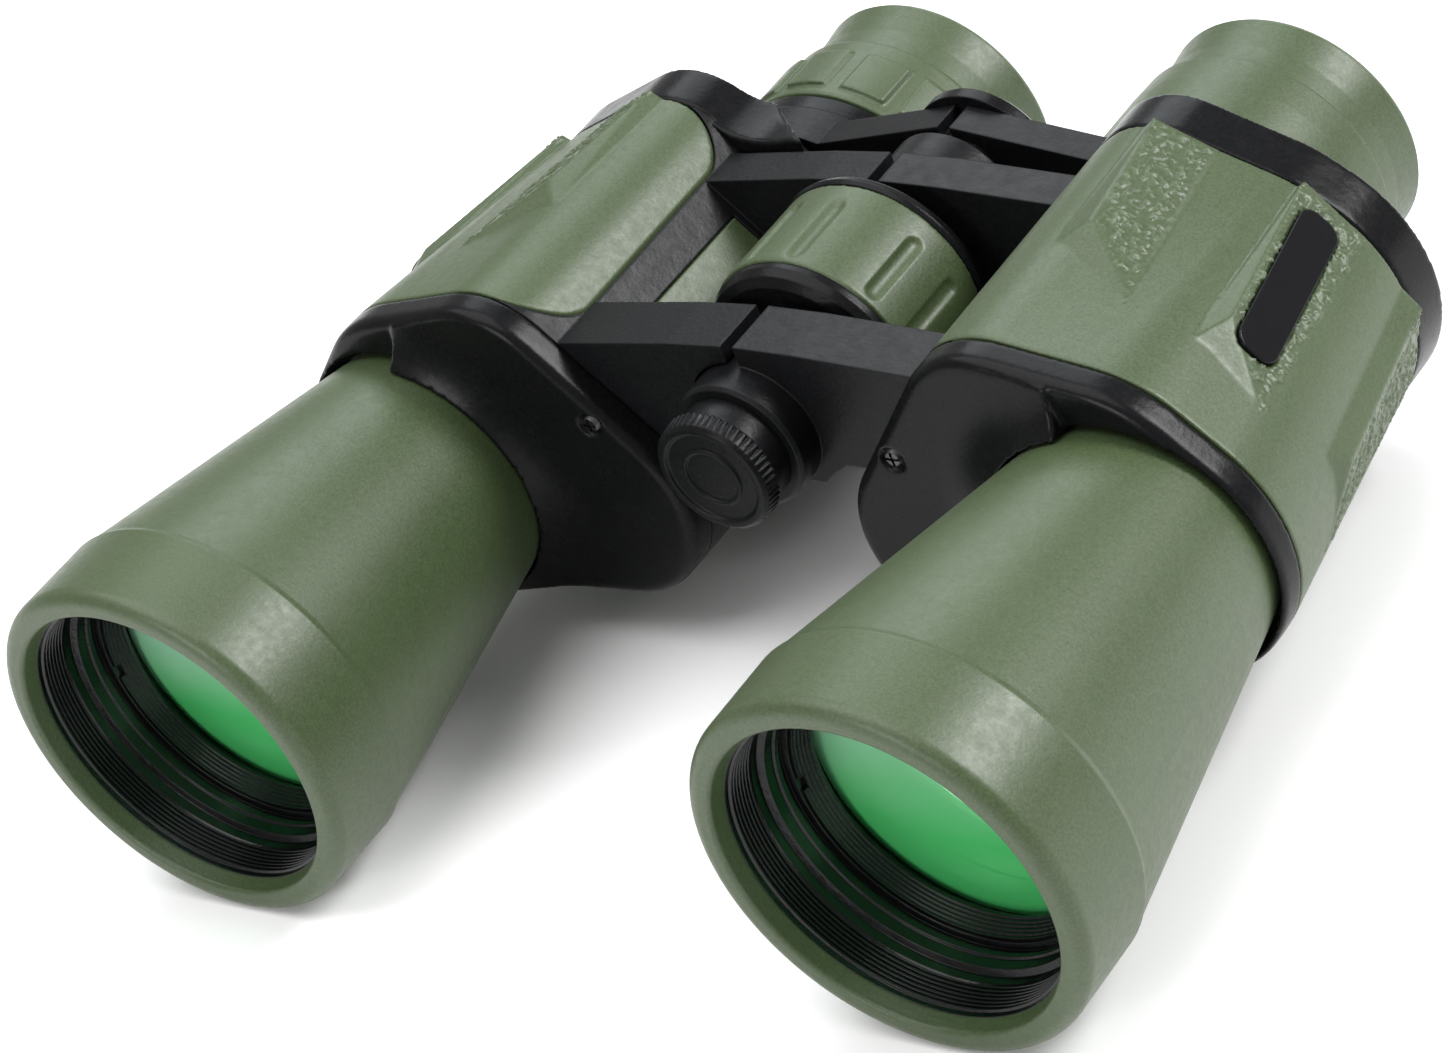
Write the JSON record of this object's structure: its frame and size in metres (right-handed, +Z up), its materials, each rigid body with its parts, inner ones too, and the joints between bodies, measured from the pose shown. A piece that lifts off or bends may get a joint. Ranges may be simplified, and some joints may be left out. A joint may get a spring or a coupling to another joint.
{
  "type": "binocular",
  "caption": "Folding centre-focus Porro-prism binocular with stepped-out green rubber-armoured barrels, diopter ring and tripod thread under a cap.",
  "frame": {"origin": "bottom centre of the bounding box: on the hinge's middle plane, half-way along the instrument, at the height of the rims' lowest points", "axes": "+Y from the objectives to the eyepieces, parallel to both optical axes; +Z up; +X to the user's left-hand side"},
  "size_m": [0.1984, 0.1774, 0.0654],
  "materials": {
    "green_rubber": "matt olive-green rubber armour with a fine grain",
    "black_casting": "satin black painted aluminium casting",
    "black_plastic": "satin charcoal moulded plastic, fine texture",
    "badge_plastic": "gloss black plate, blank",
    "black_steel": "black-zinc cross-head screws",
    "baffle_black": "black anti-glare inner surfaces",
    "coated_glass": "green anti-reflection coating",
    "lens_glass": "clear polished glass",
    "prism_glass": "clear polished glass",
    "bright_metal": "turned aluminium",
    "spring_steel": "spring steel strip",
    "brass_insert": "turned brass"
  },
  "bodies": {
    "right_half": {"prism_housing_right": "black_casting", "armour_outer_right": "green_rubber", "armour_inner_right": "green_rubber", "badge_right": "badge_plastic", "front_cover_right": "black_plastic", "cover_screws_right": "black_steel", "rear_cover_right": "black_plastic", "strap_lug_right": "black_plastic", "eyepiece_guide_right": "bright_metal", "barrel_sleeve_right": "green_rubber", "objective_tube_right": "baffle_black", "retaining_ring_right": "baffle_black", "objective_crown_right": "coated_glass", "objective_flint_right": "lens_glass", "prism_shelf_right": "bright_metal", "prism_front_right": "prism_glass", "prism_rear_right": "prism_glass", "prism_clips_right": "spring_steel", "hinge_axle": "bright_metal", "tripod_bush": "black_casting", "rear_collar": "black_casting"},
    "left_half": {"prism_housing_left": "black_casting", "armour_outer_left": "green_rubber", "armour_inner_left": "green_rubber", "badge_left": "badge_plastic", "front_cover_left": "black_plastic", "cover_screws_left": "black_steel", "rear_cover_left": "black_plastic", "strap_lug_left": "black_plastic", "eyepiece_guide_left": "bright_metal", "barrel_sleeve_left": "green_rubber", "objective_tube_left": "baffle_black", "retaining_ring_left": "baffle_black", "objective_crown_left": "coated_glass", "objective_flint_left": "lens_glass", "prism_shelf_left": "bright_metal", "prism_front_left": "prism_glass", "prism_rear_left": "prism_glass", "prism_clips_left": "spring_steel"},
    "focus_wheel": {"focus_wheel_core": "black_plastic", "focus_wheel_grip": "green_rubber"},
    "bridge_right": {"bridge_arm_right": "black_casting", "eyepiece_sleeve_right": "bright_metal", "eyepiece_shell_right": "black_plastic", "focus_spindle": "bright_metal", "bridge_cap": "black_plastic"},
    "bridge_left": {"bridge_arm_left": "black_casting", "eyepiece_sleeve_left": "bright_metal", "eyepiece_shell_left": "green_rubber", "ocular_cell_left": "baffle_black", "field_lens_left": "lens_glass", "eye_lens_left": "lens_glass", "eyecup_left": "green_rubber"},
    "ocular_right": {"ocular_cell_right": "baffle_black", "field_lens_right": "lens_glass", "eye_lens_right": "lens_glass", "eyecup_right": "green_rubber"},
    "diopter_ring": {"diopter_ring_right": "green_rubber"},
    "tripod_cap_stud": {"tripod_cap_stud": "brass_insert"},
    "tripod_cap": {"tripod_cap": "black_plastic"}
  },
  "joints": [
    {"name": "hinge_fold", "type": "hinge", "parent": "right_half", "child": "left_half", "pos_m": [0, -0.08865, 0.0435], "axis": [0, 1, 0], "range_deg": [-6, 37]},
    {"name": "focus_travel_right", "type": "slide", "parent": "right_half", "child": "bridge_right", "axis": [0, 1, 0], "range_m": [0, 0.008]},
    {"name": "focus_travel_left", "type": "slide", "parent": "left_half", "child": "bridge_left", "axis": [0, 1, 0], "range_m": [0, 0.008]},
    {"name": "focus_turn", "type": "hinge", "parent": "right_half", "child": "focus_wheel", "pos_m": [0, -0.08865, 0.0435], "axis": [0, 1, 0], "range_deg": [0, 540]},
    {"name": "diopter_travel", "type": "slide", "parent": "bridge_right", "child": "ocular_right", "axis": [0, 1, 0], "range_m": [-0.0015, 0.0015]},
    {"name": "diopter_turn", "type": "hinge", "parent": "bridge_right", "child": "diopter_ring", "pos_m": [-0.0352, 0.06935, 0.028], "axis": [0, 1, 0], "range_deg": [-60, 60]},
    {"name": "cap_travel", "type": "slide", "parent": "right_half", "child": "tripod_cap_stud", "axis": [0, -1, 0], "range_m": [0, 0.01]},
    {"name": "cap_turn", "type": "hinge", "parent": "tripod_cap_stud", "child": "tripod_cap", "pos_m": [0, -0.02365, 0.0435], "axis": [0, -1, 0], "range_deg": [0, 2840]}
  ],
  "couplings": [
    {"joint": "focus_travel_left", "follows": "focus_travel_right", "ratio": 1},
    {"joint": "focus_turn", "follows": "focus_travel_right", "rad_per_m": 1178.1},
    {"joint": "diopter_turn", "follows": "diopter_travel", "rad_per_m": 698.13},
    {"joint": "cap_turn", "follows": "cap_travel", "rad_per_m": 4947.4}
  ]
}
